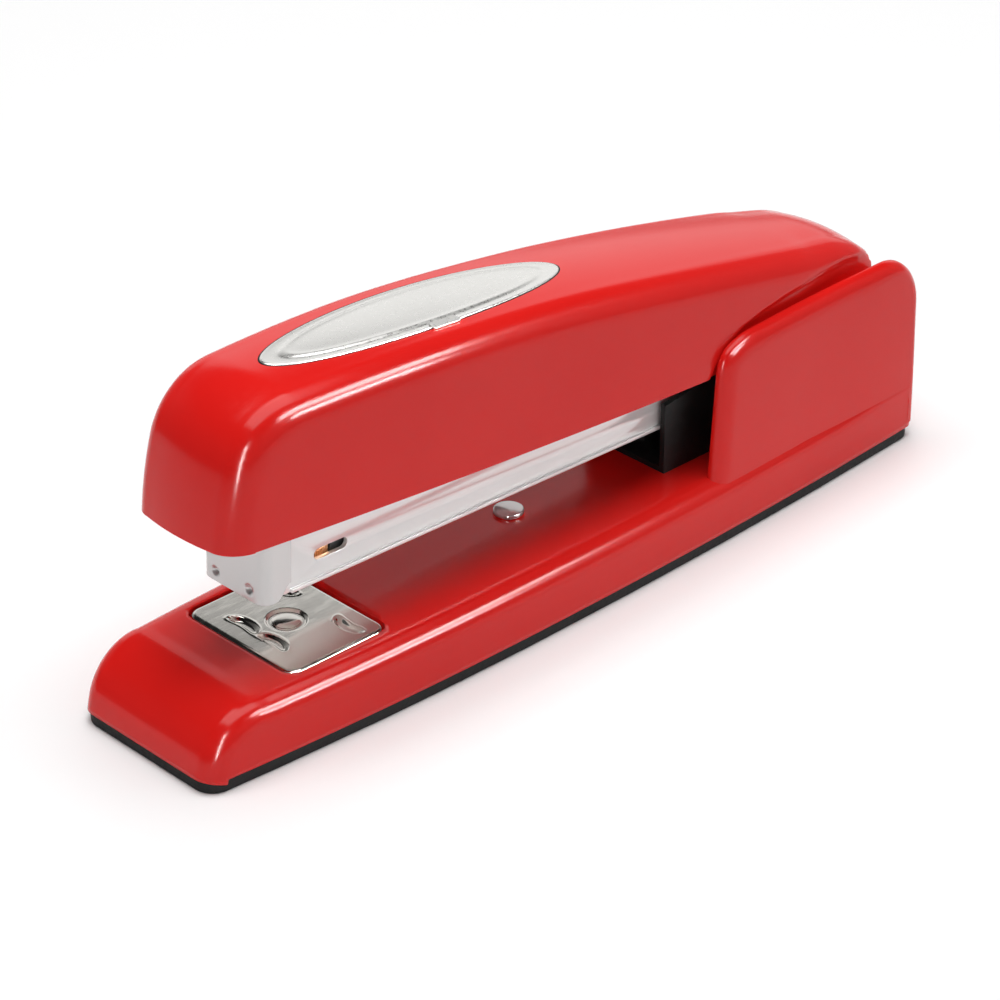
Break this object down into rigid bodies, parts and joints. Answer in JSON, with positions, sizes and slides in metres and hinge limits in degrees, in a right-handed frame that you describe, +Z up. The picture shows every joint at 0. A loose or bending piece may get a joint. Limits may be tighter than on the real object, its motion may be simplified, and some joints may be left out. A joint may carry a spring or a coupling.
{
  "type": "desk stapler",
  "caption": "Desk stapler with a red painted metal base and cover, bright steel magazine, anvil plate, oval top plate and rubber sole.",
  "frame": {"origin": "middle of the footprint, on the underside of the rubber sole", "axes": "+X towards the hinge end, -X towards the nose, +Y across, +Z up"},
  "size_m": [0.1986, 0.0444, 0.0712],
  "materials": {
    "red_paint": "glossy enamel",
    "sole_rubber": "matte",
    "plated_steel": "bright plated",
    "steel": "plain",
    "spring_steel": "plain",
    "black_steel": "black, low gloss",
    "black_plastic": "matte",
    "copper_wire": "copper coated wire",
    "satin_plate": "satin"
  },
  "bodies": {
    "base": {"base_casting": "red_paint", "base_pad": "sole_rubber", "anvil_leaf_spring": "spring_steel", "anvil_spring_rivet": "plated_steel", "hinge_bracket": "black_steel", "bracket_rivets": "steel", "hinge_pin": "steel", "pin_clips": "plated_steel", "magazine_lift_spring": "spring_steel", "lift_spring_rivet": "steel"},
    "anvil": {"anvil_plate": "plated_steel", "anvil_post": "plated_steel", "anvil_button": "black_plastic"},
    "magazine": {"magazine_channel": "plated_steel", "nose_plate": "plated_steel", "staple_strip": "copper_wire", "pusher_rod": "plated_steel", "pusher_spring": "spring_steel", "rod_block": "black_plastic", "channel_end_block": "black_plastic", "rail_spring": "spring_steel"},
    "rail": {"inner_rail": "plated_steel"},
    "pusher": {"pusher": "black_plastic"},
    "cover": {"cover_shell": "red_paint", "cover_posts": "steel", "oval_plate": "satin_plate", "cover_arm": "black_steel", "driver_blade": "steel", "driver_rivets": "steel", "cover_leaf_spring": "spring_steel", "leaf_spring_rivet": "steel"}
  },
  "joints": [
    {"name": "magazine_swing", "type": "hinge", "parent": "base", "child": "magazine", "pos_m": [0.084, 0, 0.033], "axis": [0, 1, 0], "range_deg": [-4, 92], "stiffness_Nm_per_rad": 2.6, "springref_deg": 5.73, "deforming": ["magazine_lift_spring"]},
    {"name": "cover_swing", "type": "hinge", "parent": "magazine", "child": "cover", "pos_m": [0.084, 0, 0.033], "axis": [0, -1, 0], "range_deg": [-90, 2.8], "stiffness_Nm_per_rad": 1.8, "springref_deg": -5.73, "deforming": ["cover_leaf_spring"]},
    {"name": "pusher_slide", "type": "slide", "parent": "magazine", "child": "pusher", "axis": [0.9996, 0, -0.027], "range_m": [0, 0.1], "stiffness_N_per_m": 30, "springref_m": -0.05, "deforming": ["pusher_spring"]},
    {"name": "rail_slide", "type": "slide", "parent": "magazine", "child": "rail", "axis": [0.9996, 0, -0.027], "range_m": [0, 0.0025], "stiffness_N_per_m": 400, "springref_m": -0.004, "deforming": ["rail_spring"]},
    {"name": "anvil_lift", "type": "slide", "parent": "base", "child": "anvil", "axis": [0, 0, 1], "range_m": [0, 0.0025], "stiffness_N_per_m": 400, "springref_m": -0.003, "deforming": ["anvil_leaf_spring"]}
  ]
}
